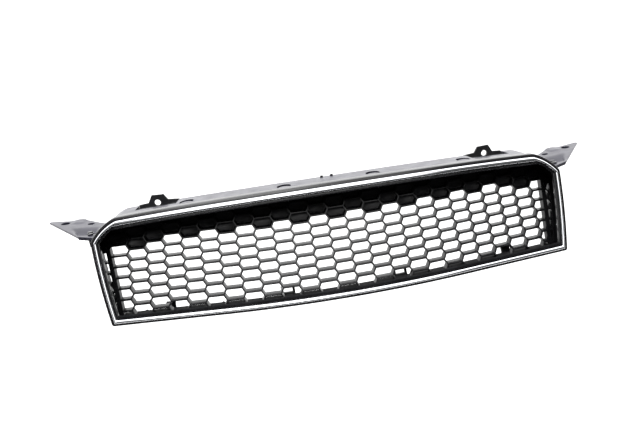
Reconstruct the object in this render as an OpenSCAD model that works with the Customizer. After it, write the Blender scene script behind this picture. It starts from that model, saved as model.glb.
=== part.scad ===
// Front grille: a chromed surround on a raked, bowed bezel, with an elongated honeycomb insert,
// a flared housing behind it, an upper shelf, two side wings and two upright fixing ears.
// Millimetres. +X is the object's width, -Y is its front, +Z is up.
// The origin is halfway between the fixing holes of the two ears.

/* [Bezel outline, seen from the front] */
// Half width at the knees, the widest point of the bezel
knee_x = 320.3; // [312:0.1:326]
// Height of the knees above the middle of the honeycomb
knee_z = 52; // [48:0.5:55]
// Half width at the lower corners
foot_x = 301.5; // [296:0.5:306]
// Outward curve of the two side edges, at their middle
side_bulge = 2; // [0.5:0.1:3]
// Outward curve of the sloping upper corners, at their middle
corner_bulge = 3.5; // [2:0.1:5]
// Height of the lower edge
foot_z = -48; // [-50:0.5:-46]
// Half width where the top edge turns down
shoulder_x = 286; // [280:1:292]
// Height of the top edge at the middle
crown_z = 87; // [85:0.5:89]
// Fall of the top edge from the middle to the shoulder
crown_drop = 8.8; // [7:0.1:10]

/* [Curvature and rake] */
// Lean of the front face, top backwards
rake = 24.7; // [22:0.1:27]
// Radius of the middle stretch in plan
bow_radius = 1060; // [1000:10:1200]
// Half width of the middle stretch, beyond which the flanks are straight
bow_half = 152; // [145:1:160]

/* [Honeycomb] */
// Distance between columns of cells
cell_pitch_x = 25; // [24.5:0.1:25.5]
// Distance between rows in one column
cell_pitch_z = 13.6; // [13.4:0.1:13.8]
// Half length of a cell's flat top, on the centre line of the ribs
cell_flat = 10.3; // [9.8:0.1:10.8]
// Distance of the middle column from the middle of the bezel
lattice_shift = 3.3; // [2.5:0.1:4]
// Thickness of the ribs
rib = 2.2; // [1.8:0.1:2.6]
// Depth of the cells, front to back
mesh_depth = 9; // [8:0.5:11]
// Lowest blind row of the even columns, in half rows above the middle
blind_from = 6; // [6:2:8]

/* [Upper shelf and ears] */
// Depth of the shelf's rear edge behind the bow line
shelf_depth = 52; // [48:1:56]
// Panel thickness of the moulded parts
wall = 2.5; // [2.3:0.1:2.6]
// Half distance between the two ear holes
ear_x = 240; // [236:1:244]
// Height of the ear holes above the middle of the honeycomb
ear_hole_z = 78.5; // [77:0.5:80]
// Diameter of the ear holes
ear_hole_d = 8.5; // [7:0.5:9.5]
// Middle plane of the ear plates
ear_y = 78; // [77.5:0.25:78.5]

/* [Wings] */
// Diameter of the outer wing hole
wing_hole_d = 12; // [8:0.5:13]
// Diameter of the inner wing hole
wing_inner_d = 9; // [7:0.5:10]
// Thickness of the wing plate
wing_t = 3; // [2.5:0.5:3.5]

/* [Hidden] */

black = [0.09, 0.09, 0.10];
grey = [0.66, 0.66, 0.69];
dark = [0.2, 0.2, 0.21];
silver = [0.8, 0.8, 0.82];

gap = 0.1;              // clearance between parts that rest against each other
corner_segments = 5;    // facets of each rounded corner of the outline
edge_segments = 24;     // stretches of the long top and bottom edges
side_segments = 4;      // stretches of each curved side edge, and of each upper corner
bow_segments = 24;      // stretches of the middle arc in plan
far = 500;              // reach of cutting solids

// Steps through the depth, as offsets from the honeycomb's middle surface
seat_y = -44.2;         // the chrome's back on the bezel
seat_back_y = -41.4;    // back of the bezel's seat
skirt_back_y = -36;     // back of the bezel's outer skirt
flare_y = -9;           // where the housing reaches its full width
housing_back_y = 9.5;
insert_front_y = -mesh_depth / 2;
insert_back_y = mesh_depth / 2 + 0.4;
flange_back_y = insert_back_y + 2.8;

// ---- plan curve and raked surfaces ----
bow_sag = bow_radius - sqrt(bow_radius * bow_radius - bow_half * bow_half);
bow_slope = bow_half / (bow_radius - bow_sag);

// Distance that the plan curve has swept back at x
function bow(x) = abs(x) < bow_half ? bow_radius - sqrt(bow_radius * bow_radius - x * x)
    : bow_sag + bow_slope * (abs(x) - bow_half);

// Y of the raked surface with the given offset
function face_y(x, z, offset_y) = bow(x) + tan(rake) * z + offset_y;

// Everything behind the surface with the given offset. The surface leans by tilt.
module behind(offset_y, tilt = rake) {
    front = [for (i = [0:bow_segments]) bow_half * (2 * i / bow_segments - 1)];
    rotate([-tilt, 0, 0]) translate([0, offset_y * cos(tilt), 0])
        linear_extrude(height = far, center = true)
            polygon([for (x = concat([-far], front, [far])) [x, bow(x) * cos(tilt)], [far, far], [-far, far]]);
}

// The curved layer between two offsets
module layer(front, back, tilt = rake) {
    difference() {
        behind(front, tilt);
        behind(back, tilt);
    }
}

// ---- outline of the bezel, inset by [top, side, bottom, chamfer] ----
function crown(x) = crown_z - crown_drop * pow(x / shoulder_x, 2);
function all_round(d) = [1.2 * d, d, d, d];
// The same on the front face, where the plated ring sits lower along the bottom edge
function on_face(d) = [1.2 * d, d, d - 1.2, d];

// Half width at a share t of the way up the side edge, and the point there
function side_at(t) = foot_x + (knee_x - foot_x) * t + side_bulge * 4 * t * (1 - t);
function side_point(t, side) = [side * side_at(t), foot_z + (knee_z - foot_z) * t];

// The point at a share t of the way from the knee to the shoulder
knee = [knee_x, knee_z];
slope_line = [shoulder_x, crown(shoulder_x)] - knee;
slope_out = [slope_line[1], -slope_line[0]] / norm(slope_line);
function slope_at(t) = knee + slope_line * t + slope_out * corner_bulge * 4 * t * (1 - t);
function slope_point(t, side) = [side * slope_at(t)[0], slope_at(t)[1]];

TOP = 0;
SIDE = 1;
BOTTOM = 2;
CHAMFER = 3;
// Each entry is a corner, its rounding radius and the kind of the edge that starts there
base = concat(
    [for (i = [0:edge_segments - 1])
        [[-foot_x + 2 * foot_x * i / edge_segments, foot_z], i == 0 ? 4 : 0, BOTTOM]],
    [for (i = [0:side_segments - 1]) [side_point(i / side_segments, 1), i == 0 ? 4 : 0, SIDE]],
    [for (i = [0:side_segments - 1]) [slope_point(i / side_segments, 1), i == 0 ? 8 : 0, CHAMFER]],
    [for (i = [0:edge_segments - 1]) let (x = shoulder_x * (1 - 2 * i / edge_segments))
        [[x, crown(x)], i == 0 ? 20 : 0, TOP]],
    [for (i = [0:side_segments - 1]) [slope_point(1 - i / side_segments, -1), i == 0 ? 20 : 0, CHAMFER]],
    [for (i = [0:side_segments - 1]) [side_point(1 - i / side_segments, -1), i == 0 ? 8 : 0, SIDE]]
);
n_base = len(base);

function unit(v) = v / norm(v);
function left_of(u) = [-u[1], u[0]];
function edge(i) = unit(base[(i + 1) % n_base][0] - base[i % n_base][0]);
function before(i) = (i + n_base - 1) % n_base;
function turned(v, a) = [v[0] * cos(a) - v[1] * sin(a), v[0] * sin(a) + v[1] * cos(a)];

// Corner i with its two edges moved inwards
function corner(i, d) = let (v = base[i][0], n1 = left_of(edge(before(i))), n2 = left_of(edge(i)),
    d1 = d[base[before(i)][2]], d2 = d[base[i][2]], c1 = n1 * v + d1, c2 = n2 * v + d2,
    det = n1[0] * n2[1] - n1[1] * n2[0])
    abs(det) < 0.0001 ? v + n1 * d1 : [(c1 * n2[1] - c2 * n1[1]) / det, (n1[0] * c2 - n2[0] * c1) / det];

// Corner i as an arc of points
function rounded(i, d) = base[i][1] == 0 ? [corner(i, d)] :
    let (u1 = edge(before(i)), u2 = edge(i), a = atan2(u1[0] * u2[1] - u1[1] * u2[0], u1 * u2),
        inset = (d[base[before(i)][2]] + d[base[i][2]]) / 2, r = max(base[i][1] - inset, 1),
        centre = corner(i, d) - u1 * r * tan(a / 2) + left_of(u1) * r)
    [for (k = [0:corner_segments]) centre - r * turned(left_of(u1), a * k / corner_segments)];

function outline(d) = [for (i = [0:n_base - 1]) each rounded(i, d)];

// The outline's inside, as a prism along Y
module outline_prism(d) {
    rotate([90, 0, 0]) linear_extrude(height = far, center = true) polygon(outline(d));
}

// A closed frame that follows the outline. Each profile entry is [inset, offset].
module swept_frame(profile) {
    loops = [for (p = profile) [for (q = outline(p[0])) [q[0], face_y(q[0], q[1], p[1]), q[1]]]];
    m = len(profile);
    n = len(loops[0]);
    faces = [for (a = [0:m - 1], b = [0:n - 1])
        let (a2 = (a + 1) % m, b2 = (b + 1) % n,
            p = a * n + b, q = a * n + b2, r = a2 * n + b2, s = a2 * n + b)
        each [[p, q, r], [p, r, s]]];
    polyhedron(points = [for (l = loops) each l], faces = faces);
}

// ---- small shared shapes ----
// A cylinder along Y from y0 to y1
module rod_y(x, z, y0, y1, r) {
    translate([x, y0, z]) rotate([-90, 0, 0]) cylinder(h = y1 - y0, r = r, $fn = 32);
}

module screw(shank_r, shank_l, head_r, head_h) {
    cylinder(h = head_h, r = head_r, $fn = 32);
    translate([0, 0, -shank_l]) cylinder(h = shank_l + 0.01, r = shank_r, $fn = 32);
}

module mirrored(side) {
    if (side > 0) children();
    else mirror([1, 0, 0]) children();
}

// Moves the model from the middle of the honeycomb to the ear holes
module placed() {
    translate([0, -ear_y, -ear_hole_z]) children();
}

// ---- screw places ----
screw_x = [45, 140, 235];
surround_inset = 6;
function side_x(z, d) = side_at((z - foot_z) / (knee_z - foot_z)) - d;
surround_points = [for (s = [-1, 1]) each concat(
    [for (x = screw_x) [s * x, crown(x) - 1.2 * surround_inset]],
    [for (x = screw_x) [s * x, foot_z + surround_inset - 0.6]],
    [for (z = [-18, 22]) [s * side_x(z, surround_inset), z]])];
surround_pilot_r = 1.25;
surround_boss = 3.4;

insert_d = [7.4, -6.5, -9.5, 8];
insert_rim_d = [12.4, -4.2, -5, 12];
insert_top_x = [60, 130, 200];
insert_bottom_x = [60, 165, 270];
insert_points = [for (s = [-1, 1]) each concat(
    [for (x = insert_top_x) [s * x, crown(x) - (insert_d[TOP] + insert_rim_d[TOP]) / 2]],
    [for (x = insert_bottom_x) [s * x, foot_z + (insert_d[BOTTOM] + insert_rim_d[BOTTOM]) / 2]])];
insert_boss = 3.2;

// ---- chrome surround ----
chrome_profile = [
    [on_face(8.4), seat_y], [on_face(8.4), -46.2], [on_face(7.8), -47.8], [on_face(6.9), -48.7],
    [on_face(6), -49], [on_face(5.1), -48.7], [on_face(4.2), -47.8], [on_face(3.6), -46.2],
    [on_face(3.6), seat_y]];

module chrome_surround() {
    color(silver) difference() {
        swept_frame(chrome_profile);
        for (p = surround_points)
            rod_y(p[0], p[1], face_y(p[0], p[1], seat_y) - 2.8, face_y(p[0], p[1], seat_y) + 3,
                surround_pilot_r);
    }
}

module surround_screws() {
    color(silver) for (p = surround_points)
        translate([p[0], face_y(p[0], p[1], seat_back_y) + surround_boss + gap, p[1]])
            rotate([-90, 0, 0]) screw(surround_pilot_r - 0.05, 9, 2.6, 1.8);
}

// ---- bezel frame: lip, seat for the chrome, and inner rim ----
bezel_profile = [
    [all_round(wall), skirt_back_y], [all_round(wall), seat_back_y], [on_face(11.2), seat_back_y],
    [on_face(11.4), -45], [on_face(10.6), -46.2], [on_face(8.8), -46.2],
    [on_face(8.6), seat_y + gap], [on_face(3.4), seat_y + gap], [on_face(3.4), -46],
    [on_face(2.8), -47], [all_round(0.9), -47], [all_round(0), -45.6], [all_round(0), skirt_back_y]];

module bezel_frame() {
    color(black) difference() {
        union() {
            swept_frame(bezel_profile);
            for (p = surround_points)
                rod_y(p[0], p[1], face_y(p[0], p[1], seat_back_y) - 0.8,
                    face_y(p[0], p[1], seat_back_y) + surround_boss, 3.2);
        }
        for (p = surround_points)
            rod_y(p[0], p[1], face_y(p[0], p[1], seat_y) - 2, face_y(p[0], p[1], seat_y) + 12,
                surround_pilot_r + 0.15);
    }
}

// ---- housing: flared walls, rear flange and posts for the wings ----
housing_front_d = [4.5 + gap, 0, 0, 4.5 + gap];
housing_front_in = [4.5 + gap + wall, wall, wall, 4.5 + gap + wall];
housing_wide_d = insert_d - [wall, wall, wall, wall] - 0.3 * [1, 1, 1, 1];
housing_wide_in = insert_d - 0.3 * [1, 1, 1, 1];
housing_profile = [
    [housing_front_d, skirt_back_y + gap], [housing_wide_d, flare_y], [housing_wide_d, housing_back_y],
    [housing_wide_in, housing_back_y], [housing_wide_in, flange_back_y], [insert_rim_d, flange_back_y],
    [insert_rim_d, insert_back_y + gap], [housing_wide_in, insert_back_y + gap],
    [housing_wide_in, flare_y], [housing_front_in, skirt_back_y + gap]];

wing_posts = [[326.5, 38], [330.5, 50]];
wing_post_top = 52.6;
wing_post_r = 4;

module housing() {
    color(black) difference() {
        union() {
            swept_frame(housing_profile);
            for (s = [-1, 1], p = wing_posts)
                translate([s * p[0], p[1], wing_post_top - 12.5])
                    cylinder(h = 12.5, r = wing_post_r, $fn = 32);
            for (p = insert_points)
                rod_y(p[0], p[1], face_y(p[0], p[1], flange_back_y) - 0.6,
                    face_y(p[0], p[1], flange_back_y) + insert_boss, 2.4);
        }
        for (s = [-1, 1], p = wing_posts)
            translate([s * p[0], p[1], wing_post_top - 10]) cylinder(h = 11, r = 1.6, $fn = 32);
        for (p = insert_points)
            rod_y(p[0], p[1], face_y(p[0], p[1], insert_back_y) - 4, face_y(p[0], p[1], flange_back_y) + 6, 1.4);
    }
}

module insert_screws() {
    color(silver) for (p = insert_points)
        translate([p[0], face_y(p[0], p[1], flange_back_y) + insert_boss + gap, p[1]])
            rotate([-90, 0, 0]) screw(1.2, 11, 2.2, 1.6);
}

// ---- honeycomb insert ----
cell_tip = cell_pitch_x - cell_flat;
// Half sizes of a cell's opening, inside its ribs
open_z = cell_pitch_z / 2 - rib / 2;
slant = unit([cell_pitch_z / 2, cell_tip - cell_flat]);
open_tip = cell_tip - rib / 2 / slant[0];
open_flat = open_tip - open_z * slant[1] / slant[0];
cell_points = [[open_tip, 0], [open_flat, open_z], [-open_flat, open_z],
    [-open_tip, 0], [-open_flat, -open_z], [open_flat, -open_z]];
last_column = 14;
side_bar_w = 6.5;       // width of the straight bar near each end

// Everything between the two bars' inner edges, widened by w on each side
module between_bars(w) {
    top_x = 304.4 + 13 + w;
    low_x = 304.4 - 13 + w;
    polygon([[-top_x, 100], [-low_x, -100], [low_x, -100], [top_x, 100]]);
}

function blind(column, row) = row >= blind_from || (abs(column) >= 11 && row >= blind_from - 1);

// One cell's opening as a prism along Y, kept within a stretch of the insert
module cell(column, row) {
    rotate([90, 0, 0]) linear_extrude(height = far, center = true) intersection() {
        translate([column * cell_pitch_x + lattice_shift, row * cell_pitch_z / 2]) polygon(cell_points);
        children();
    }
}

module cells(want_blind) {
    for (c = [-last_column:last_column], r = [-9:11])
        if ((abs(c) + abs(r)) % 2 == 0 && blind(c, r) == want_blind) {
            if (abs(c) < last_column)
                cell(c, r) intersection() {
                    polygon(outline(insert_rim_d));
                    between_bars(0);
                }
            if (abs(c) >= last_column - 2 && r < blind_from - 1)
                cell(c, r) difference() {
                    polygon(outline(insert_rim_d));
                    between_bars(side_bar_w);
                }
        }
}

module honeycomb_insert() {
    color(black) difference() {
        intersection() {
            outline_prism(insert_d);
            layer(insert_front_y, insert_back_y);
        }
        cells(false);
        difference() {
            cells(true);
            behind(insert_back_y - 2);
        }
        for (p = insert_points)
            rod_y(p[0], p[1], face_y(p[0], p[1], insert_back_y) - 8, face_y(p[0], p[1], insert_back_y) + 4, 1.25);
    }
}

// ---- upper shelf: top panel, sloped ends, rear flange with notches for the ears ----
shelf_d = [2, 2, 2, 2];
shelf_under_d = [4.5, 4.5, 4.5, 4.5];
shelf_end_z = 57;
notch_y = 24;           // the notches' front edge behind the bow line
notch_in = 208.5;
notch_out = 266.5;
notch_floor = 70;
flange_z = 60;
// Flat pads that carry the ears: inner end, outer end and front face
pads = [[210, 232, 69.5], [231.9, 269.5, 73.4]];
window_x = [61, 194];
window_y = 19.5;
window_half = 9.5;
window_deep = 16;
ear_t = 3;
ear_screw_x = [220, 258];
ear_screw_z = 66;

// A D with its straight edge towards the front
module d_shape(half, deep, h) {
    linear_extrude(height = h) {
        translate([-half, 0]) square([2 * half, deep - half]);
        intersection() {
            translate([0, deep - half]) circle(r = half, $fn = 48);
            translate([-half - 1, 0]) square([2 * half + 2, deep + 1]);
        }
    }
}

module upper_shelf() {
    color(grey) difference() {
        union() {
            difference() {
                intersection() {
                    outline_prism(shelf_d);
                    behind(skirt_back_y + gap);
                    translate([-far, -far, shelf_end_z]) cube([2 * far, 2 * far, far]);
                }
                outline_prism(shelf_under_d);
                behind(shelf_depth, 0);
            }
            intersection() {
                outline_prism(shelf_d);
                layer(shelf_depth - wall, shelf_depth, 0);
                translate([-far, 0, flange_z]) cube([2 * far, far, far]);
            }
            for (s = [-1, 1], p = pads)
                mirrored(s) translate([p[0], p[2], flange_z])
                    cube([p[1] - p[0], ear_y - p[2], notch_floor - flange_z]);
        }
        for (s = [-1, 1]) {
            mirrored(s) intersection() {
                behind(notch_y, 0);
                translate([notch_in, 0, notch_floor]) cube([notch_out - notch_in, far, far]);
            }
            mirrored(s) translate([notch_in, ear_y - ear_t / 2 - gap, 0])
                cube([notch_out - notch_in, far, far]);
            for (x = window_x)
                translate([s * x, bow(x) + window_y, 60]) d_shape(window_half, window_deep, 60);
            for (x = ear_screw_x) rod_y(s * x, ear_screw_z, 40, 100, 1.6);
        }
    }
}

// Sprung D-shaped tongues of the housing clips, standing in the shelf's windows
module shelf_clips() {
    color(dark) for (s = [-1, 1], x = window_x)
        translate([s * x, bow(x) + window_y + 1.5, crown(x - window_half + 2) - 4.5])
            d_shape(window_half - 2, 9, 1.3);
}

buffer_x = 7;
module shelf_buffers() {
    color(black) for (s = [-1, 1])
        translate([s * buffer_x, shelf_depth - 3, crown(buffer_x) - shelf_d[TOP] + 0.02])
            cylinder(h = 1.9, r = 2.1, $fn = 32);
}

// ---- ears ----
ear_profile = [[notch_in + 0.8, 60], [notch_out - 0.8, 60], [notch_out - 0.8, 78.6], [252.6, 79.6],
    [246.5, 90], [230, 89.2], [225, 81], [notch_in + 0.8, 79.6]];

module ear(side) {
    color(dark) mirrored(side) difference() {
        translate([0, ear_y + ear_t / 2, 0]) rotate([90, 0, 0]) linear_extrude(height = ear_t)
            polygon(ear_profile);
        rod_y(ear_x, ear_hole_z, 60, 100, ear_hole_d / 2);
        for (x = ear_screw_x) rod_y(x, ear_screw_z, 60, 100, 1.9);
    }
}

module ear_screws(side) {
    color(silver) mirrored(side) for (x = ear_screw_x)
        translate([x, ear_y + ear_t / 2 + gap, ear_screw_z]) rotate([-90, 0, 0]) screw(1.55, 9, 3.4, 2.2);
}

// ---- wings ----
wing_ref = [360, 70, 61.3];
wing_rise_x = 5.3;
wing_rise_y = 3.2;
wing_plan = [[319.8, 24], [341, 32], [404, 106], [402, 109], [374, 107.5], [367, 111], [357, 112],
    [330, 92], [319.8, 86]];
wing_hole = [378, 95.5];
wing_inner_hole = [340, 87];
wing_lip = 3;

// Places children on the sloping plane of the wing's top, with Z out of the plate
module on_wing() {
    translate(wing_ref) rotate([wing_rise_y, 0, 0]) rotate([0, -wing_rise_x, 0])
        translate([-wing_ref[0], -wing_ref[1], 0]) children();
}

module wing(side) {
    color(grey) mirrored(side) difference() {
        union() {
            on_wing() translate([0, 0, -wing_t]) linear_extrude(height = wing_t) polygon(wing_plan);
            on_wing() translate([0, 0, -wing_t - wing_lip]) linear_extrude(height = wing_lip + 0.1)
                polygon([wing_plan[0], wing_plan[1], wing_plan[1] + [-0.8, wall], wing_plan[0] + [0, wall]]);
            for (p = wing_posts)
                translate([p[0], p[1], wing_post_top + gap]) cylinder(h = 3.2, r = wing_post_r + 1, $fn = 32);
        }
        on_wing() translate([wing_hole[0], wing_hole[1], -10]) cylinder(h = 20, d = wing_hole_d, $fn = 48);
        on_wing() translate([wing_inner_hole[0], wing_inner_hole[1], -10])
            cylinder(h = 20, d = wing_inner_d, $fn = 48);
        for (p = wing_posts) translate([p[0], p[1], 40]) {
            cylinder(h = 40, r = 1.9, $fn = 32);
            translate([0, 0, wing_post_top - 40 + 3.2]) cylinder(h = 20, r = 4, $fn = 32);
        }
    }
}

module wing_screws(side) {
    color(silver) mirrored(side) for (p = wing_posts)
        translate([p[0], p[1], wing_post_top + 3.2 + gap]) screw(1.55, 11, 3.4, 2);
}

// ---- lower hooks and loops behind the bottom rail ----
hook_x = 236;
loop_x = 77;
tab_low = -60;
tab_high = -44.5;

module tab(x, half, top) {
    intersection() {
        layer(housing_back_y + gap, housing_back_y + 3.2);
        translate([x - half, -far, tab_low]) cube([2 * half, 2 * far, top - tab_low]);
    }
}

module outer_hook(side) {
    color(black) mirrored(side) {
        tab(hook_x, 6.5, tab_high - 2);
        intersection() {
            layer(housing_back_y + 3.1, housing_back_y + 8);
            translate([hook_x - 6.5, -far, tab_high - 4]) cube([7, 2 * far, 3]);
        }
    }
}

module inner_loop(side) {
    color(black) mirrored(side) difference() {
        tab(loop_x, 9.5, tab_high);
        translate([loop_x - 6, -far, tab_high - 7]) cube([12, 2 * far, 5]);
    }
}

placed() chrome_surround();
placed() bezel_frame();
placed() housing();
placed() honeycomb_insert();
placed() upper_shelf();
placed() wing(-1);  // left_wing
placed() wing(1);  // right_wing
placed() ear(-1);  // left_ear
placed() ear(1);  // right_ear
placed() shelf_clips();
placed() shelf_buffers();
placed() outer_hook(-1);  // left_outer_hook
placed() outer_hook(1);  // right_outer_hook
placed() inner_loop(-1);  // left_inner_loop
placed() inner_loop(1);  // right_inner_loop
placed() surround_screws();
placed() insert_screws();
placed() wing_screws(-1);  // left_wing_screws
placed() wing_screws(1);  // right_wing_screws
placed() ear_screws(-1);  // left_ear_screws
placed() ear_screws(1);  // right_ear_screws
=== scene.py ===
import math

import bmesh
import bpy
from mathutils import Matrix, Vector, geometry


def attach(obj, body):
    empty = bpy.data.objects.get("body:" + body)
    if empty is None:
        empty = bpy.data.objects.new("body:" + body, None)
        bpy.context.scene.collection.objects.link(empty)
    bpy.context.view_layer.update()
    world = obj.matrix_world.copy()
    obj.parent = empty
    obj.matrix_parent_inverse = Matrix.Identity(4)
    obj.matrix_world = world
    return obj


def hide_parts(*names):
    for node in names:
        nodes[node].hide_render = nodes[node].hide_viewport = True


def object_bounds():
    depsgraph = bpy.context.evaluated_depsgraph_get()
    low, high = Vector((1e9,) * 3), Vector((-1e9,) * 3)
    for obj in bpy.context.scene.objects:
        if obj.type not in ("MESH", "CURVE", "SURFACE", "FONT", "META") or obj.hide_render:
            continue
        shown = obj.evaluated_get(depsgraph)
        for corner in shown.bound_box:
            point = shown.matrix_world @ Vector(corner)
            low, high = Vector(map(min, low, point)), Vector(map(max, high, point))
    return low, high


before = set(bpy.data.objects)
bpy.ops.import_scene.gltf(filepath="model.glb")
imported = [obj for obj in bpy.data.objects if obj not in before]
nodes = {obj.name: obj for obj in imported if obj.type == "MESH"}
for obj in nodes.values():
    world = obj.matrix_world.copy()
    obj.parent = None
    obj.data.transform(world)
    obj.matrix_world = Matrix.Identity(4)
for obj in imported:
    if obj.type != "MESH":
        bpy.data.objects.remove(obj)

# Everything below is worked out in millimetres from the middle of the honeycomb, and moved to the row frame
# (metres, origin halfway between the ear holes) when a mesh is made.
cad_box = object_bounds()
EAR_Y, EAR_Z = 78.0, 78.5

# ---------------------------------------------------------------- camera
AZIMUTH, ELEVATION, ROLL = math.radians(4.302), math.radians(15.04), math.radians(-7.813)
CAMERA_PLACE = (-0.0684, -0.7254, 0.1423)
to_view = (Matrix.Rotation(ROLL, 3, "Z") @ Matrix.Rotation(ELEVATION, 3, "X")
           @ Matrix(((1, 0, 0), (0, 0, -1), (0, 1, 0))) @ Matrix.Rotation(AZIMUTH, 3, "Z"))
cam_data = bpy.data.cameras.new("camera")
cam_data.sensor_fit = "HORIZONTAL"
cam_data.sensor_width = 36.0
cam_data.lens = 28.69
cam_data.clip_start, cam_data.clip_end = 0.01, 60
camera = bpy.data.objects.new("camera", cam_data)
bpy.context.scene.collection.objects.link(camera)
right, down, ahead = to_view[0], to_view[1], to_view[2]
turn = Matrix((right, -down, -ahead)).transposed()
camera.matrix_world = Matrix.Translation(CAMERA_PLACE) @ turn.to_4x4()
bpy.context.scene.camera = camera

# ---------------------------------------------------------------- the part's measures
KNEE_X, KNEE_Z, FOOT_X, FOOT_Z, SIDE_BULGE, CORNER_BULGE = 320.3, 52.0, 301.5, -48.0, 2.0, 3.5
SHOULDER_X, CROWN_Z, CROWN_DROP = 286.0, 87.0, 8.8
FOOT_RADIUS, KNEE_RADIUS, SHOULDER_RADIUS = 4, 8, 20
RAKE = math.radians(24.7)
BOW_RADIUS, BOW_HALF = 1060.0, 152.0
BOW_SAG = BOW_RADIUS - math.sqrt(BOW_RADIUS ** 2 - BOW_HALF ** 2)
BOW_SLOPE = BOW_HALF / (BOW_RADIUS - BOW_SAG)
PITCH_X, PITCH_Z, FLAT, RIB, LATTICE_SHIFT = 25.0, 13.6, 10.3, 2.2, 3.3
SEAT, SEAT_BACK, SKIRT_BACK = -44.2, -41.4, -36.0
FLARE, HOUSING_BACK, INSERT_FRONT, INSERT_BACK = -9.0, 9.5, -4.5, 4.9
FLANGE_BACK = INSERT_BACK + 2.8
WALL = 2.5
# the insert's outer edge and the edge of its field of cells, as insets from the outline
INSERT = (7.4, -6.5, -9.5, 8.0)
RIM = (12.4, -4.2, -5.0, 12.0)
WING_POSTS = ((326.5, 38), (330.5, 50))
WING_POST_TOP = 52.6
TOP, SIDE, BOTTOM, CHAMFER = range(4)


def bow(x):
    """How far the face stands back at x: an arc in the middle, straight flanks beside it."""
    x = abs(x)
    if x < BOW_HALF:
        return BOW_RADIUS - math.sqrt(BOW_RADIUS ** 2 - x * x)
    return BOW_SAG + BOW_SLOPE * (x - BOW_HALF)


def face_y(x, z, offset):
    return bow(x) + math.tan(RAKE) * z + offset


def crown(x):
    return CROWN_Z - CROWN_DROP * (x / SHOULDER_X) ** 2


def all_round(d):
    """An inset d as (top, side, bottom, chamfer), for what follows the outline evenly."""
    return (1.2 * d, d, d, d)


def on_face(d):
    """An inset d of the front: the plated ring is wider along the top and lies lower along the bottom."""
    return (0.9 * d if d < 4 else 3.6 + 1.48 * (d - 4), d, d - 1.2, d)


def row(x, y, z):
    return (x / 1000, (y - EAR_Y) / 1000, (z - EAR_Z) / 1000)


# ---------------------------------------------------------------- outline and sweeps
STRETCHES, SIDE_STRETCHES, CORNER_STRETCHES = 64, 12, 8


def side_at(t):
    return FOOT_X + (KNEE_X - FOOT_X) * t + SIDE_BULGE * 4 * t * (1 - t), FOOT_Z + (KNEE_Z - FOOT_Z) * t


flank = [side_at(i / SIDE_STRETCHES) for i in range(SIDE_STRETCHES + 1)]
knee, slope_line = Vector((KNEE_X, KNEE_Z)), Vector((SHOULDER_X - KNEE_X, crown(SHOULDER_X) - KNEE_Z))
slope_out = Vector((slope_line.y, -slope_line.x)).normalized()
slope = [tuple(knee + slope_line * t + slope_out * CORNER_BULGE * 4 * t * (1 - t))
         for t in (i / CORNER_STRETCHES for i in range(CORNER_STRETCHES + 1))]
sill = [(-FOOT_X + 2 * FOOT_X * i / STRETCHES, FOOT_Z) for i in range(STRETCHES)]
brow = [(x, crown(x)) for x in (SHOULDER_X * (1 - 2 * i / STRETCHES) for i in range(STRETCHES))]


def leg(places, radius, kind):
    """One leg of the outline: only its first corner is rounded."""
    return [(p, radius if i == 0 else 0, kind) for i, p in enumerate(places)]


base = leg(sill, FOOT_RADIUS, BOTTOM)
base += leg(flank[:-1], FOOT_RADIUS, SIDE)
base += leg(slope[:-1], KNEE_RADIUS, CHAMFER)
base += leg(brow, SHOULDER_RADIUS, TOP)
base += leg([(-x, z) for x, z in slope[:0:-1]], SHOULDER_RADIUS, CHAMFER)
base += leg([(-x, z) for x, z in flank[:0:-1]], KNEE_RADIUS, SIDE)
points = [Vector(b[0]) for b in base]
edges = [(points[(i + 1) % len(points)] - points[i]).normalized() for i in range(len(points))]


def outline(d, arc=12):
    """The bezel's outline moved inwards by d = (top, side, bottom, chamfer)."""
    out = []
    for i, (_, radius, kind) in enumerate(base):
        u1, u2 = edges[i - 1], edges[i]
        n1, n2 = Vector((-u1.y, u1.x)), Vector((-u2.y, u2.x))
        d1, d2 = d[base[i - 1][2]], d[kind]
        det = n1.x * n2.y - n1.y * n2.x
        if abs(det) < 1e-5:
            corner = points[i] + n1 * d1
        else:
            c1, c2 = n1 @ points[i] + d1, n2 @ points[i] + d2
            corner = Vector(((c1 * n2.y - c2 * n1.y) / det, (n1.x * c2 - n2.x * c1) / det))
        if radius == 0:
            out.append((corner.x, corner.y))
            continue
        a = math.atan2(det, u1 @ u2)
        r = max(radius - (d1 + d2) / 2, 1.0)
        centre = corner - u1 * r * math.tan(a / 2) + n1 * r
        for k in range(arc + 1):
            t = a * k / arc
            out.append((centre.x - r * (n1.x * math.cos(t) - n1.y * math.sin(t)),
                        centre.y - r * (n1.x * math.sin(t) + n1.y * math.cos(t))))
    return out


def finish_mesh(name, verts, faces, sharp=35.0):
    mesh = bpy.data.meshes.new(name)
    mesh.from_pydata(verts, [], faces)
    bm = bmesh.new()
    bm.from_mesh(mesh)
    bmesh.ops.recalc_face_normals(bm, faces=bm.faces)
    bm.to_mesh(mesh)
    bm.free()
    mesh.polygons.foreach_set("use_smooth", [True] * len(mesh.polygons))
    mesh.set_sharp_from_angle(angle=math.radians(sharp))
    obj = bpy.data.objects.new(name, mesh)
    bpy.context.scene.collection.objects.link(obj)
    return obj


def sweep_mesh(profile):
    """A closed frame along the outline. Each entry of profile is (insets, offset)."""
    loops = [[row(x, face_y(x, z, offset), z) for x, z in outline(insets)] for insets, offset in profile]
    n, m = len(loops[0]), len(loops)
    faces = [(a * n + b, a * n + (b + 1) % n, ((a + 1) % m) * n + (b + 1) % n, ((a + 1) % m) * n + b)
             for a in range(m) for b in range(n)]
    return [v for loop in loops for v in loop], faces


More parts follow.
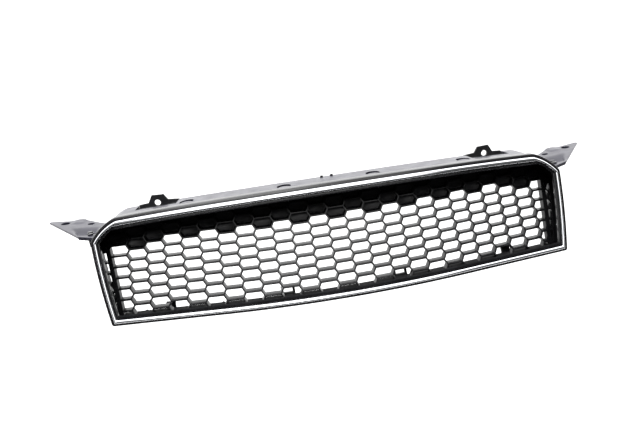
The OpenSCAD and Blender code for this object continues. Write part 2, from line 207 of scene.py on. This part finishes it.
def tidied(obj, sharp):
    """The mesh with its doubled points joined."""
    bm = bmesh.new()
    bm.from_mesh(obj.data)
    bmesh.ops.remove_doubles(bm, verts=bm.verts, dist=2e-6)
    bmesh.ops.recalc_face_normals(bm, faces=bm.faces)
    bm.to_mesh(obj.data)
    bm.free()
    obj.data.set_sharp_from_angle(angle=math.radians(sharp))
    return obj


# ---------------------------------------------------------------- materials
def principled(material):
    return material.node_tree.nodes["Principled BSDF"]


def new_material(name, colour, rough, metallic=0.0, ior=1.5):
    m = bpy.data.materials.new(name)
    m.use_nodes = True
    shader = principled(m)
    shader.inputs["Base Color"].default_value = (*colour, 1)
    shader.inputs["Roughness"].default_value = rough
    shader.inputs["Metallic"].default_value = metallic
    shader.inputs["IOR"].default_value = ior
    return m, m.node_tree, shader


def noise(tree, scale, detail=2.0, rough=0.5):
    coords = tree.nodes.new("ShaderNodeTexCoord")
    n = tree.nodes.new("ShaderNodeTexNoise")
    n.inputs["Scale"].default_value = scale
    n.inputs["Detail"].default_value = detail
    n.inputs["Roughness"].default_value = rough
    tree.links.new(coords.outputs["Object"], n.inputs["Vector"])
    return n


def spread_to(tree, source, low, high, into, start=0.3, end=0.7):
    r = tree.nodes.new("ShaderNodeMapRange")
    r.inputs["From Min"].default_value, r.inputs["From Max"].default_value = start, end
    r.inputs["To Min"].default_value, r.inputs["To Max"].default_value = low, high
    tree.links.new(source, r.inputs["Value"])
    tree.links.new(r.outputs["Result"], into)


def bump(tree, shader, layers):
    """Each layer is (noise scale, depth in metres, detail)."""
    normal = None
    for scale, depth, detail in layers:
        n = noise(tree, scale, detail, 0.55)
        b = tree.nodes.new("ShaderNodeBump")
        b.inputs["Strength"].default_value = 1.0
        b.inputs["Distance"].default_value = depth
        tree.links.new(n.outputs["Fac"], b.inputs["Height"])
        if normal is not None:
            tree.links.new(normal, b.inputs["Normal"])
        normal = b.outputs["Normal"]
    tree.links.new(normal, shader.inputs["Normal"])


def tones(tree, shader, dark, light, scale, detail=4.0):
    n = noise(tree, scale, detail, 0.6)
    ramp = tree.nodes.new("ShaderNodeValToRGB")
    ramp.color_ramp.elements[0].position, ramp.color_ramp.elements[1].position = 0.35, 0.7
    ramp.color_ramp.elements[0].color = (*dark, 1)
    ramp.color_ramp.elements[1].color = (*light, 1)
    tree.links.new(n.outputs["Fac"], ramp.inputs["Fac"])
    tree.links.new(ramp.outputs["Color"], shader.inputs["Base Color"])


def plastic(name, dark, light, rough_low, rough_high, grain_scale, grain_depth, specular=0.5):
    m, tree, shader = new_material(name, dark, rough_low)
    shader.inputs["Specular IOR Level"].default_value = specular
    tones(tree, shader, dark, light, 45)
    spread_to(tree, noise(tree, 60, 5, 0.6).outputs["Fac"], rough_low, rough_high, shader.inputs["Roughness"])
    bump(tree, shader, [(grain_scale, grain_depth, 2.0), (12, 0.00012, 1.0)])
    return m


def metal(name, dark, light, rough_low, rough_high, layers):
    m, tree, shader = new_material(name, dark, rough_low, metallic=1.0)
    tones(tree, shader, dark, light, 25)
    spread_to(tree, noise(tree, 90, 4, 0.6).outputs["Fac"], rough_low, rough_high, shader.inputs["Roughness"])
    bump(tree, shader, layers)
    return m


chrome = metal("plated_chrome", (0.80, 0.81, 0.84), (0.88, 0.89, 0.91), 0.03, 0.08, [(40, 0.00002, 1.0)])
gloss = plastic("moulded_black_gloss", (0.008, 0.008, 0.009), (0.014, 0.014, 0.016), 0.16, 0.26,
                1400, 0.000006)
satin = plastic("moulded_black_satin", (0.010, 0.010, 0.011), (0.018, 0.018, 0.020), 0.17, 0.27,
                1300, 0.00001, specular=0.36)
tray_satin = plastic("moulded_black_matt", (0.008, 0.008, 0.009), (0.016, 0.016, 0.018), 0.5, 0.62,
                     1300, 0.00002, specular=0.04)
shelf_grain = plastic("moulded_shelf_grain", (0.015, 0.0145, 0.027), (0.024, 0.023, 0.041), 0.30, 0.40,
                      1500, 0.00003, specular=0.40)
principled(shelf_grain).inputs["Specular Tint"].default_value = (0.97, 0.96, 1.0, 1)
# grained plastic of the ears, also laid on the blind cells' floors as painted light: a lighter colour
# standing for light that those shaded floors do not get
ear_plastic_and_painted_floor_light = plastic("moulded_ear_plastic_and_painted_floor_light", (0.022, 0.022, 0.024), (0.034, 0.034, 0.036), 0.34, 0.46,
                    1400, 0.00003)
rubber = plastic("rubber", (0.010, 0.010, 0.010), (0.018, 0.018, 0.018), 0.60, 0.80, 1800, 0.00004)
zinc = metal("zinc_plate", (0.48, 0.49, 0.51), (0.62, 0.62, 0.62), 0.25, 0.42, [(900, 0.00002, 3.0)])
black_zinc = metal("black_passivate", (0.05, 0.05, 0.055), (0.09, 0.09, 0.095), 0.30, 0.48,
                   [(900, 0.00002, 3.0)])


def dress(obj, material):
    obj.data.materials.clear()
    obj.data.materials.append(material)


def matt_between(obj, low, high, least_rise):
    """Faces between two heights, turned upwards by least_rise or more, take the matt plastic of the tray."""
    obj.data.materials.append(tray_satin)
    for face in obj.data.polygons:
        if low < face.center.z * 1000 + EAR_Z < high and face.normal.z > least_rise:
            face.material_index = 1


def keep(node, material, edge_mm):
    """A CAD node that stays: its material and softened edges."""
    obj = nodes[node]
    for s in obj.material_slots:
        s.material = material
    if not obj.material_slots:
        obj.data.materials.append(material)
    b = obj.modifiers.new("edges", "BEVEL")
    b.width, b.segments, b.limit_method = edge_mm / 1000, 2, "ANGLE"
    b.angle_limit = math.radians(30)
    b.harden_normals = False


def stands_for(obj, node, material):
    dress(obj, material)
    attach(obj, "root")
    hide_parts(node)


# ---------------------------------------------------------------- chrome ring
BEAD_OUTER, BEAD_INNER, BEAD_FOOT, BEAD_MIDDLE = 4.2, 8.4, -46.2, 6.3
bead = [(BEAD_INNER, SEAT), (BEAD_INNER, BEAD_FOOT)]
for k in range(25):
    a = math.pi * (0.06 + 0.88 * k / 24)
    bead.append((BEAD_MIDDLE + 2.08 * math.cos(a), BEAD_FOOT - 0.05 - 2.7 * math.sin(a) ** 0.9))
bead += [(BEAD_OUTER, BEAD_FOOT), (BEAD_OUTER, SEAT)]
ring = finish_mesh("chrome_ring", *sweep_mesh([(on_face(d), offset) for d, offset in bead]), sharp=50)
stands_for(ring, "chrome_surround", chrome)

# ---------------------------------------------------------------- bezel
# from the skirt's inner edge, over the thin inner rim, the ring's seat and the outer lip, to its outer edge
seat_wall = [(WALL, SKIRT_BACK), (WALL, SEAT_BACK)]
front = [(11.2, SEAT_BACK), (11.4, -44.9), (11.0, -45.8), (10.4, -46.0), (10.0, -45.5), (9.7, -45.5),
         (9.4, -46.1), (8.9, -46.1), (8.6, -45.6), (8.6, SEAT + 0.1), (4.0, SEAT + 0.1), (4.0, -46.5),
         (3.6, -46.9)]
outer_lip = [(1.0, -46.9), (0.3, -46.4), (0.0, -45.4), (0.0, SKIRT_BACK)]
bezel_profile = [(all_round(d), offset) for d, offset in seat_wall]
bezel_profile += [(on_face(d), offset) for d, offset in front]
bezel_profile += [(all_round(d), offset) for d, offset in outer_lip]
bezel = finish_mesh("bezel", *sweep_mesh(bezel_profile), sharp=25)
stands_for(bezel, "bezel_frame", gloss)
matt_between(bezel, -42.5, -33, 0.3)

# ---------------------------------------------------------------- honeycomb
BAR_X, BAR_LEAN, BAR_WIDTH = 304.4, 0.13, 6.5
TIP = PITCH_X - FLAT
LAST = 14
LOWEST, HIGHEST = -9, 11
BLIND_ROW, BLIND_END_COLUMN = 6, 11
# how much thinner a rib is at its back edge, in its middle and at its rounded front edge
GROWTH = (-0.30, 0.0, 0.38)
CUT_GROWTH = (-0.25, 0.0, 0.25)


def inside(x, z, poly):
    hit = False
    for i in range(len(poly)):
        (ax, az), (bx, bz) = poly[i - 1], poly[i]
        if (az > z) != (bz > z) and x < (bx - ax) * (z - az) / (bz - az) + ax:
            hit = not hit
    return hit


def centre(poly):
    return Vector((sum(p[0] for p in poly) / len(poly), sum(p[1] for p in poly) / len(poly)))


def opening(grow):
    """A cell's hexagon, with its ribs made thinner by grow on each side."""
    half = RIB / 2 - grow
    oz = PITCH_Z / 2 - half
    length = math.hypot(PITCH_Z / 2, TIP - FLAT)
    sx, sz = (PITCH_Z / 2) / length, (TIP - FLAT) / length
    tip = TIP - half / sx
    flat = tip - oz * sz / sx
    return [(tip, 0), (flat, oz), (-flat, oz), (-tip, 0), (-flat, -oz), (flat, -oz)]


def clip(poly, nx, nz, limit):
    """The part of a convex polygon where nx*x + nz*z <= limit."""
    out = []
    for i in range(len(poly)):
        a, b = poly[i - 1], poly[i]
        fa, fb = nx * a[0] + nz * a[1] - limit, nx * b[0] + nz * b[1] - limit
        if (fa <= 0) != (fb <= 0):
            t = fa / (fa - fb)
            out.append((a[0] + (b[0] - a[0]) * t, a[1] + (b[1] - a[1]) * t))
        if fb <= 0:
            out.append(b)
    return out


def area(poly):
    return 0.5 * sum(poly[i - 1][0] * poly[i][1] - poly[i][0] * poly[i - 1][1] for i in range(len(poly)))


def stretch_line(a, b):
    """Outward normal and limit of one stretch of the outline's right-hand side."""
    length = math.hypot(b[0] - a[0], b[1] - a[1])
    nx, nz = (b[1] - a[1]) / length, (a[0] - b[0]) / length
    return nx, nz, nx * a[0] + nz * a[1]


flank_lines = [stretch_line(a, b) for a, b in zip(flank, flank[1:])]
slope_lines = [stretch_line(a, b) for a, b in zip(slope, slope[1:])]


def trimmed(poly, grow, mid_x, bar_side):
    """A cell's polygon cut to the field of cells, between the straight bars (0) or beyond one (-1, 1)."""
    d = [v - grow for v in RIM]
    for s in (-1, 1):
        for nx, nz, limit in flank_lines:
            poly = clip(poly, s * nx, nz, limit - d[SIDE])
        for nx, nz, limit in slope_lines:
            poly = clip(poly, s * nx, nz, limit - d[CHAMFER])
        if bar_side == 0:
            poly = clip(poly, s, -BAR_LEAN, BAR_X + grow)
    if bar_side:
        poly = clip(poly, -bar_side, BAR_LEAN, -(BAR_X + BAR_WIDTH - grow))
    poly = clip(poly, 0, -1, -(FOOT_Z + d[BOTTOM]))
    rise = -2 * CROWN_DROP * mid_x / SHOULDER_X ** 2
    return clip(poly, -rise, 1, crown(mid_x) - d[TOP] - rise * mid_x)


def is_blind(c, r):
    return r >= BLIND_ROW or (abs(c) >= BLIND_END_COLUMN and r >= BLIND_ROW - 1)


def cell_rings(c, r, outer):
    """Outlines of one cell's opening from back to front, or None where nothing is left of it."""
    bar_side = (1 if c > 0 else -1) if outer else 0
    rings = []
    for grow in GROWTH:
        poly = [(c * PITCH_X + LATTICE_SHIFT + x, r * PITCH_Z / 2 + z) for x, z in opening(grow)]
        rings.append(trimmed(poly, grow, c * PITCH_X, bar_side))
    if min(len(p) for p in rings) < 3 or area(rings[0]) < 3:
        return None
    if len({len(p) for p in rings}) != 1:
        # the cuts left different corners, so the back and front follow from the middle outline
        middle = centre(rings[1])
        arms = [Vector(p) - middle for p in rings[1]]
        rings = [[tuple(middle + arm * (1 + grow / arm.length)) for arm in arms] for grow in CUT_GROWTH]
    return rings


def triangles(boundary, holes, extra=()):
    """Triangles that fill a boundary round its holes, with extra points inside."""
    flat, loops = [], []
    for poly in [boundary] + holes:
        loops.append(list(range(len(flat), len(flat) + len(poly))))
        flat.extend(Vector(p) for p in poly)
    flat.extend(Vector(p) for p in extra)
    sides = [(loop[i - 1], loop[i]) for loop in loops for i in range(len(loop))]
    out, _, tris, _, _, _ = geometry.delaunay_2d_cdt(flat, sides, [], 0, 1e-4)
    boxes = []
    for h in holes:
        xs, zs = [p[0] for p in h], [p[1] for p in h]
        boxes.append((min(xs), max(xs), min(zs), max(zs), h))
    kept = []
    for t in tris:
        mx, mz = sum(out[i].x for i in t) / 3, sum(out[i].y for i in t) / 3
        if inside(mx, mz, boundary) and not any(x0 < mx < x1 and z0 < mz < z1 and inside(mx, mz, h)
                                                for x0, x1, z0, z1, h in boxes):
            kept.append(tuple(t))
    return [(p.x, p.y) for p in out], kept


def all_cells():
    """Every cell as (outlines, blind): the field between the bars, and the slits beyond them."""
    cells = []
    for c in range(-LAST, LAST + 1):
        for r in range(LOWEST, HIGHEST + 1):
            if (c + r) % 2:
                continue
            if abs(c) < LAST:
                cells.append((cell_rings(c, r, False), is_blind(c, r)))
            if abs(c) >= LAST - 2 and r < BLIND_ROW - 1:
                cells.append((cell_rings(c, r, True), False))
    return [(rings, blind) for rings, blind in cells if rings]


def honeycomb():
    """The insert: two plates with holes, an outer wall, and the walls and floors of the cells."""
    verts, faces = [], []
    cells = all_cells()

    def put(poly, offset):
        start = len(verts)
        verts.extend(row(x, face_y(x, z, offset), z) for x, z in poly)
        return list(range(start, start + len(poly)))

    def wall(a, b):
        n = len(a)
        faces.extend((a[i], a[(i + 1) % n], b[(i + 1) % n], b[i]) for i in range(n))

    rim = outline(INSERT, arc=6)
    rim_small = outline([v + 0.5 for v in INSERT], arc=6)
    front, back = INSERT_FRONT, INSERT_BACK

    def plate(boundary, holes, offset):
        """The flat face round the cells, following the bow."""
        out, tris = triangles(boundary, holes)
        start = len(verts)
        verts.extend(row(x, face_y(x, z, offset), z) for x, z in out)
        faces.extend(tuple(start + i for i in t) for t in tris)

    plate(rim_small, [rings[2] for rings, _ in cells], front)
    plate(rim_small, [rings[0] for rings, blind in cells if not blind], back)
    a, b = put(rim_small, front), put(rim, front + 0.5)
    c_, d_ = put(rim, back - 0.5), put(rim_small, back)
    wall(a, b), wall(b, c_), wall(c_, d_)
    for rings, blind in cells:
        edge = [tuple((Vector(p) * 0.3 + Vector(q) * 0.7)) for p, q in zip(rings[2], rings[1])]
        loops = [put(rings[2], front), put(edge, front + 0.12), put(rings[1], front + 0.45)]
        if blind:
            fillet = [tuple(Vector(p) * 0.93 + centre(rings[0]) * 0.07) for p in rings[0]]
            loops.append(put(rings[0], back - 2.4))
            loops.append(put(fillet, back - 2.0))
        else:
            loops.append(put(rings[0], back))
        for i in range(len(loops) - 1):
            wall(loops[i], loops[i + 1])
        if blind:
            faces.append(tuple(loops[-1]))
    return verts, faces


comb = tidied(finish_mesh("honeycomb", *honeycomb(), sharp=38), 38)
stands_for(comb, "honeycomb_insert", satin)
matt_between(comb, -70, -51.5, -1)
# painted light: the blind cells' floors take the lighter ear plastic, brighter than the insert's own black,
# to stand for light in their shade
comb.data.materials.append(ear_plastic_and_painted_floor_light)
for face in comb.data.polygons:
    # the blind cells' floors are the only faces with more than four sides
    if len(face.vertices) > 4 and face.center.z * 1000 + EAR_Z > 20:
        face.material_index = 2

# ---------------------------------------------------------------- housing
def mix(a, b, t):
    return tuple(p + (q - p) * t for p, q in zip(a, b))


wide_in = tuple(v - 0.3 for v in INSERT)
wide_out = tuple(v - 0.3 - WALL for v in INSERT)
front_out, front_in = (4.6, 0.0, 0.0, 4.6), (4.6 + WALL, WALL, WALL, 4.6 + WALL)
mouth = SKIRT_BACK + 0.1
tray = [(front_out, mouth), (wide_out, FLARE), (wide_out, HOUSING_BACK), (wide_in, HOUSING_BACK),
        (wide_in, FLANGE_BACK), (RIM, FLANGE_BACK), (RIM, INSERT_BACK + 0.1), (wide_in, INSERT_BACK + 0.1),
        (wide_in, FLARE)]
for t in (0.12, 0.34, 0.56, 0.78):
    # a low moulded ridge that runs all round the inner wall
    for step, height in ((0.0, 0.0), (0.012, 0.55), (0.05, 0.55), (0.062, 0.0)):
        insets = mix(wide_in, front_in, t + step)
        tray.append((tuple(v + height for v in insets), FLARE + (mouth - FLARE) * (t + step)))
tray.append((front_in, mouth))


def cylinder(place, axis, length, radius, edge=0.3, count=24):
    """A rod from place along axis ("Y" or "Z") with a rounded far edge."""
    verts, faces = [], []
    for h, r in ((0, radius), (length - edge, radius), (length, radius - edge)):
        for k in range(count):
            a, b = r * math.cos(2 * math.pi * k / count), r * math.sin(2 * math.pi * k / count)
            x, y, z = place
            verts.append(row(x + a, y + h, z + b) if axis == "Y" else row(x + a, y + b, z + h))
    for low in (0, count):
        faces += [(low + k, low + (k + 1) % count, low + count + (k + 1) % count, low + count + k)
                  for k in range(count)]
    faces += [tuple(range(count)), tuple(range(2 * count, 3 * count))]
    return verts, faces


def merged(parts):
    verts, faces = [], []
    for v, f in parts:
        faces += [tuple(i + len(verts) for i in face) for face in f]
        verts += v
    return verts, faces


BOSS_LENGTH, BOSS_RADIUS, POST_LENGTH, POST_RADIUS = 3.8, 2.4, 12.5, 4.0
upper_edge, lower_edge = (INSERT[TOP] + RIM[TOP]) / 2, (INSERT[BOTTOM] + RIM[BOTTOM]) / 2
insert_points = [(s * x, crown(x) - upper_edge) for s in (-1, 1) for x in (60, 130, 200)]
insert_points += [(s * x, FOOT_Z + lower_edge) for s in (-1, 1) for x in (60, 165, 270)]
pieces = [sweep_mesh(tray)]
pieces += [cylinder((x, face_y(x, z, FLANGE_BACK) - 0.6, z), "Y", BOSS_LENGTH, BOSS_RADIUS)
           for x, z in insert_points]
pieces += [cylinder((s * x, y, WING_POST_TOP - POST_LENGTH), "Z", POST_LENGTH, POST_RADIUS)
           for s in (-1, 1) for x, y in WING_POSTS]
shell = finish_mesh("housing_shell", *merged(pieces), sharp=40)
stands_for(shell, "housing", tray_satin)

# ---------------------------------------------------------------- wings
WING = [(319.8, 24), (341, 32), (404, 106), (402, 109), (374, 107.5), (367, 111), (357, 112), (330, 92),
        (319.8, 86)]
WING_HOLES = [(378, 95.5, 6.0), (340, 87, 4.5)]
WING_MIDDLE, WING_RISE, WING_LEAN = (360, 70, 61.3), math.radians(5.3), math.radians(3.2)
WING_T, WING_EDGE, HOLE_EDGE = 3.0, 0.45, 0.35
COLLAR_DEPTH, COLLAR_WALL, LIP_DEPTH = 2.5, 1.8, 1.6


def smooth(t):
    t = min(max(t, 0.0), 1.0)
    return t * t * (3 - 2 * t)


def wing_height(x, y):
    """Height over the plate's plane: a scoop behind the front lip, and a shallow fold near the rear peak."""
    edge = 345 + (y - 40) * 0.62
    across = smooth((edge - x) / 5) * smooth((x - 321.5) / 3)
    along = smooth((y - 36.5) / 4) * (1 - smooth((y - 43) / 30))
    fold = smooth((x - 350) / 5) * smooth((y - 88) / 8) * smooth((372 - x) / 9)
    return -5.2 * across * along + 0.9 * fold


def wing(side):
    """One side wing, as a mesh in the row frame."""
    def tight(poly, inset):
        out = []
        for i, p in enumerate(poly):
            p, a, b = Vector(p), Vector(poly[i - 1]), Vector(poly[(i + 1) % len(poly)])
            u, v = (p - a).normalized(), (b - p).normalized()
            n1, n2 = Vector((-u.y, u.x)), Vector((-v.y, v.x))
            out.append(tuple(p + (n1 + n2) * inset / max(1 + n1 @ n2, 0.3)))
        return out

    spaced = []
    for i, p in enumerate(WING):
        q = Vector(WING[(i + 1) % len(WING)])
        steps = max(1, round((q - Vector(p)).length / 3))
        spaced += [tuple(Vector(p).lerp(q, k / steps)) for k in range(steps)]

    def ring(x, y, r):
        turns = [2 * math.pi * k / 32 for k in range(32)]
        return [(x + r * math.cos(t), y + r * math.sin(t)) for t in turns]

    grid = [(319.5 + 2.2 * i + 1.1 * (j % 2), 24 + 2 * j) for i in range(40) for j in range(46)]
    verts, faces = [], []
    cos_rise, sin_rise = math.cos(WING_RISE), math.sin(WING_RISE)
    cos_lean, sin_lean = math.cos(WING_LEAN), math.sin(WING_LEAN)

    def place(x, y, h):
        u, v, w = x - WING_MIDDLE[0], y - WING_MIDDLE[1], h
        u, w = u * cos_rise - w * sin_rise, u * sin_rise + w * cos_rise
        v, w = v * cos_lean - w * sin_lean, v * sin_lean + w * cos_lean
        return row(side * (WING_MIDDLE[0] + u), WING_MIDDLE[1] + v, WING_MIDDLE[2] + w)

    def sheet(drop):
        holes = [ring(x, y, r + HOLE_EDGE) for x, y, r in WING_HOLES]
        well_inside = tight(spaced, WING_EDGE + 1.0)
        room = [p for p in grid if inside(*p, well_inside)
                and all(math.dist(p, h[:2]) > h[2] + HOLE_EDGE + 0.8 for h in WING_HOLES)]
        out, tris = triangles(tight(spaced, WING_EDGE), holes, room)
        start = len(verts)
        verts.extend(place(x, y, wing_height(x, y) - drop) for x, y in out)
        faces.extend(tuple(start + i for i in t) for t in tris)

    def band(lower, upper):
        start = len(verts)
        for poly, drop in (lower, upper):
            verts.extend(place(x, y, wing_height(x, y) - drop) for x, y in poly)
        n = len(lower[0])
        faces.extend((start + i, start + (i + 1) % n, start + n + (i + 1) % n, start + n + i)
                     for i in range(n))

    def stack(outline_at, levels):
        """Bands through a list of (size, drop)."""
        for a, b in zip(levels, levels[1:]):
            band((outline_at(a[0]), a[1]), (outline_at(b[0]), b[1]))

    sheet(0.0)
    sheet(WING_T)
    stack(lambda inset: tight(spaced, inset),
          [(WING_EDGE, 0.0), (0.0, WING_EDGE), (0.0, WING_T - WING_EDGE), (WING_EDGE, WING_T)])
    for x, y, r in WING_HOLES:
        stack(lambda size: ring(x, y, size),
              [(r + HOLE_EDGE, 0.0), (r, HOLE_EDGE), (r, WING_T), (r + HOLE_EDGE, WING_T)])
    # a collar under the outer hole, and the stiffening lip under the front edge
    x, y, r = WING_HOLES[0]
    foot = WING_T + COLLAR_DEPTH
    stack(lambda size: ring(x, y, size),
          [(r, WING_T), (r, foot), (r + COLLAR_WALL, foot), (r + COLLAR_WALL, WING_T)])
    lip = [(320.3, 25.0), (340.6, 32.6), (340.0, 34.6), (320.3, 27.2)]
    band((lip, WING_T - 0.2), (lip, WING_T + LIP_DEPTH))
    start = len(verts)
    verts.extend(place(x, y, -WING_T - LIP_DEPTH) for x, y in lip)
    faces.append(tuple(range(start, start + 4)))
    pads = [cylinder((side * x, y, WING_POST_TOP + 0.1), "Z", 3.2, 5.0) for x, y in WING_POSTS]
    name = ("right" if side > 0 else "left") + "_wing_plate"
    return tidied(finish_mesh(name, *merged([(verts, faces)] + pads), sharp=40), 40)


for side, name in ((-1, "left_wing"), (1, "right_wing")):
    stands_for(wing(side), name, shelf_grain)

# ---------------------------------------------------------------- CAD pieces that stay
keep("upper_shelf", shelf_grain, 0.5)
for side in ("left", "right"):
    keep(side + "_ear", ear_plastic_and_painted_floor_light, 0.5)
    keep(side + "_outer_hook", satin, 0.3)
    keep(side + "_inner_loop", satin, 0.3)
    keep(side + "_wing_screws", black_zinc, 0.25)
    keep(side + "_ear_screws", zinc, 0.25)
keep("shelf_clips", shelf_grain, 0.3)
keep("shelf_buffers", rubber, 0.3)
keep("surround_screws", zinc, 0.2)
keep("insert_screws", zinc, 0.2)

# ---------------------------------------------------------------- floor and light
FLOOR_FRONT, FLOOR_REACH = -0.45, 9
floor_z = cad_box[0].z - 0.40
floor_corners = [(x, y, floor_z) for x, y in ((-FLOOR_REACH, FLOOR_FRONT), (FLOOR_REACH, FLOOR_FRONT),
                                              (FLOOR_REACH, FLOOR_REACH), (-FLOOR_REACH, FLOOR_REACH))]
floor_mesh = bpy.data.meshes.new("floor")
floor_mesh.from_pydata(floor_corners, [], [(0, 1, 2, 3)])
floor = bpy.data.objects.new("floor", floor_mesh)
bpy.context.scene.collection.objects.link(floor)
floor_material, _, floor_shader = new_material("pale_floor", (0.9, 0.9, 0.9), 0.9)
floor_shader.inputs["Specular IOR Level"].default_value = 0.0
dress(floor, floor_material)

world = bpy.data.worlds.new("studio")
bpy.context.scene.world = world
world.use_nodes = True
wt = world.node_tree
sky = wt.nodes["Background"]
where = wt.nodes.new("ShaderNodeTexCoord")


def level(direction, start, end, low, high):
    """A smooth step along a direction of the surroundings."""
    dot = wt.nodes.new("ShaderNodeVectorMath")
    dot.operation = "DOT_PRODUCT"
    dot.inputs[1].default_value = direction
    wt.links.new(where.outputs["Generated"], dot.inputs[0])
    step = wt.nodes.new("ShaderNodeMapRange")
    step.interpolation_type = "SMOOTHSTEP"
    step.inputs["From Min"].default_value, step.inputs["From Max"].default_value = start, end
    step.inputs["To Min"].default_value, step.inputs["To Max"].default_value = low, high
    wt.links.new(dot.outputs["Value"], step.inputs["Value"])
    return step.outputs["Result"]


def combine(kind, a, b):
    m = wt.nodes.new("ShaderNodeMath")
    m.operation = kind
    wt.links.new(a, m.inputs[0])
    wt.links.new(b, m.inputs[1])
    return m.outputs["Value"]


# White behind and overhead, a dark room on the camera's side, and a wide soft box high in front
behind_light = level((0.0, 0.83, 0.55), 0.12, 0.40, 0.0, 2.3)
box_high = level((0.0, 0.0, 1.0), 0.45, 0.53, 0.0, 1.0)
box_left = level((1.0, 0.0, 0.0), -0.55, -0.38, 0.0, 1.0)
box_right = level((-1.0, 0.0, 0.0), -0.55, -0.38, 0.0, 2.0)
box_light = combine("MULTIPLY", combine("MULTIPLY", box_high, box_left), box_right)
room = level((0.0, 0.0, 1.0), -0.3, 0.6, 0.04, 0.12)
light = combine("ADD", combine("MAXIMUM", behind_light, box_light), room)
# Seen directly, the surroundings are as pale as the floor
paths = wt.nodes.new("ShaderNodeLightPath")
wt.links.new(combine("MAXIMUM", light, paths.outputs["Is Camera Ray"]), sky.inputs["Strength"])
sky.inputs["Color"].default_value = (1, 1, 1, 1)


key_data = bpy.data.lights.new("key", "AREA")
key_data.shape = "RECTANGLE"
key_data.size, key_data.size_y = 1.2, 0.8
key_data.energy = 12
key = bpy.data.objects.new("key", key_data)
key.location = (-0.5, -0.9, 1.6)
key.rotation_euler = (-key.location).to_track_quat("-Z", "Y").to_euler()
bpy.context.scene.collection.objects.link(key)
bpy.context.scene.view_settings.view_transform = "Standard"

# ---------------------------------------------------------------- the end
bpy.context.view_layer.update()
